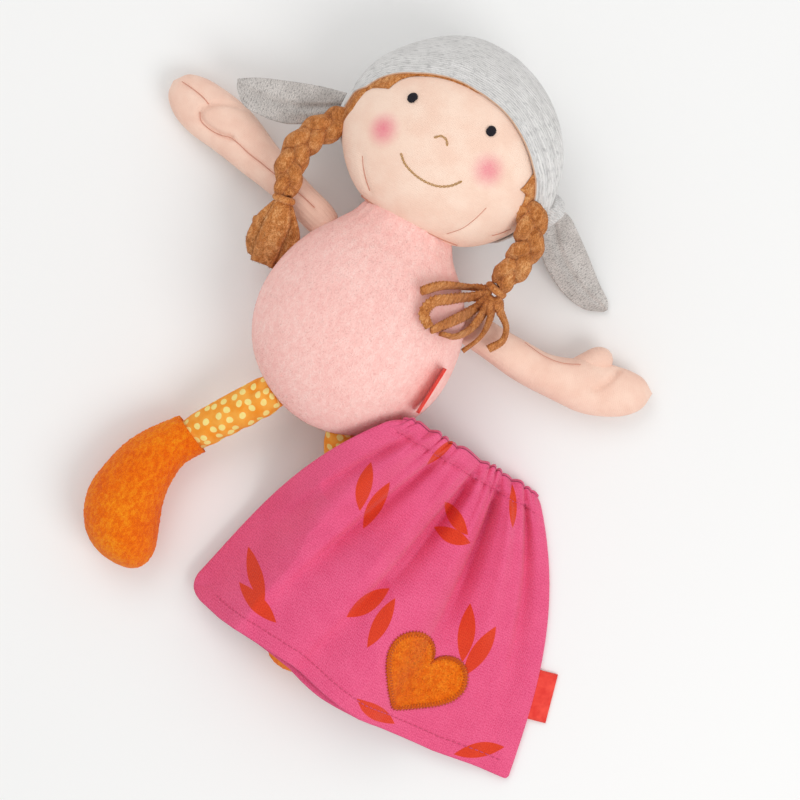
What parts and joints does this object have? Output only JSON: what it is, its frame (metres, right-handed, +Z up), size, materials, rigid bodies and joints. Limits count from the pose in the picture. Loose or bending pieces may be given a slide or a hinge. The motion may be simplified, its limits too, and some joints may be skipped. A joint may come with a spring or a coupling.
{
  "type": "soft doll",
  "caption": "Stuffed cloth doll lying on its back with arms spread, braids and headscarf, its gathered skirt taken off and laid over one leg.",
  "frame": {"origin": "on the flat resting face under the back of the belly, where the doll lies on the table", "axes": "+Z up out of the doll's belly and face, +Y from the boots towards the head, +X towards the skirt, to the right as seen from above"},
  "size_m": [0.3463, 0.3607, 0.0882],
  "materials": {
    "pink_plush": "short soft pile",
    "peach_jersey": "fine knit",
    "grey_jersey": "heathered knit",
    "brown_plush": "short soft pile",
    "orange_plush": "short soft pile",
    "dotted_cotton": "woven, printed with pale dots",
    "magenta_jersey": "knit",
    "stuffing": "loose fibre",
    "black_thread": "embroidery",
    "gold_thread": "embroidery",
    "red_ribbon": "woven ribbon",
    "elastic": "woven elastic"
  },
  "bodies": {
    "torso": {"body_front_panel": "pink_plush", "body_back_panel": "pink_plush", "body_filling": "stuffing", "body_label": "red_ribbon"},
    "head": {"face_panel": "peach_jersey", "head_back_panel": "peach_jersey", "head_filling": "stuffing", "hair_fringe": "brown_plush", "headscarf": "grey_jersey", "left_eye": "black_thread", "right_eye": "black_thread", "nose_stitch": "gold_thread", "mouth_stitch": "gold_thread", "scarf_knot": "grey_jersey"},
    "left_arm": {"left_arm_skin": "peach_jersey", "left_arm_filling": "stuffing"},
    "right_arm": {"right_arm_skin": "peach_jersey", "right_arm_filling": "stuffing"},
    "left_leg_root": {"left_leg_tab": "dotted_cotton"},
    "left_leg": {"left_leg_tube": "dotted_cotton", "left_leg_filling": "stuffing"},
    "left_foot": {"left_boot_skin": "orange_plush", "left_boot_filling": "stuffing"},
    "right_leg": {"right_leg_tab": "dotted_cotton", "right_leg_tube": "dotted_cotton", "right_leg_filling": "stuffing"},
    "right_foot": {"right_boot_skin": "orange_plush", "right_boot_filling": "stuffing"},
    "left_plait": {"left_braid": "brown_plush", "left_braid_tie": "brown_plush", "left_tassel": "brown_plush"},
    "right_plait": {"right_braid": "brown_plush", "right_braid_tie": "brown_plush", "right_tassel": "brown_plush"},
    "left_tail": {"left_scarf_tail": "grey_jersey"},
    "right_tail": {"right_scarf_tail": "grey_jersey"},
    "skirt": {"skirt_back_panel": "magenta_jersey", "skirt_front_panel": "magenta_jersey", "waist_elastic": "elastic", "heart_patch": "orange_plush", "skirt_label": "red_ribbon"}
  },
  "joints": [
    {"name": "neck_tilt", "type": "hinge", "parent": "torso", "child": "head", "pos_m": [-0.0025, 0.057, 0.0409], "axis": [0, 0, 1], "range_deg": [-3, 3]},
    {"name": "left_shoulder", "type": "hinge", "parent": "torso", "child": "left_arm", "pos_m": [-0.0465, 0.0455, 0.03], "axis": [0, 0, 1], "range_deg": [-18, 10]},
    {"name": "right_shoulder", "type": "hinge", "parent": "torso", "child": "right_arm", "pos_m": [0.0515, 0.0315, 0.03], "axis": [0, 0, 1], "range_deg": [-15, 18]},
    {"name": "left_hip_swing", "type": "hinge", "parent": "torso", "child": "left_leg_root", "pos_m": [-0.0265, -0.056, 0.033], "axis": [0, 0, 1], "range_deg": [-25, 4]},
    {"name": "left_hip_lift", "type": "hinge", "parent": "left_leg_root", "child": "left_leg", "pos_m": [-0.0265, -0.056, 0.033], "axis": [-0.8387, 0.5446, 0], "range_deg": [0, 60]},
    {"name": "left_ankle", "type": "hinge", "parent": "left_leg", "child": "left_foot", "pos_m": [-0.05101, -0.09374, 0.0195], "axis": [0, 0, 1], "range_deg": [-12, 12]},
    {"name": "right_hip_swing", "type": "hinge", "parent": "torso", "child": "right_leg", "pos_m": [0.0215, -0.056, 0.033], "axis": [0, 0, 1], "range_deg": [-5, 8]},
    {"name": "right_ankle", "type": "hinge", "parent": "right_leg", "child": "right_foot", "pos_m": [0.04263, -0.09573, 0.0195], "axis": [0, 0, 1], "range_deg": [-5, 5]},
    {"name": "left_braid_lift", "type": "hinge", "parent": "head", "child": "left_plait", "pos_m": [-0.06502, 0.092, 0.0453], "axis": [-0.9964, 0.0845, 0], "range_deg": [0, 100]},
    {"name": "right_braid_lift", "type": "hinge", "parent": "head", "child": "right_plait", "pos_m": [0.05562, 0.092, 0.06297], "axis": [-0.9991, 0.0426, 0], "range_deg": [0, 100]},
    {"name": "left_tail_lift", "type": "hinge", "parent": "head", "child": "left_tail", "pos_m": [-0.0627, 0.10545, 0.031], "axis": [-0.2079, 0.9781, 0], "range_deg": [0, 20]},
    {"name": "right_tail_lift", "type": "hinge", "parent": "head", "child": "right_tail", "pos_m": [0.073, 0.108, 0.032], "axis": [-0.4848, -0.8746, 0], "range_deg": [0, 90]},
    {"name": "skirt_lift_off", "type": "slide", "parent": "torso", "child": "skirt", "axis": [0, 0, 1], "range_m": [0, 0.12]}
  ]
}
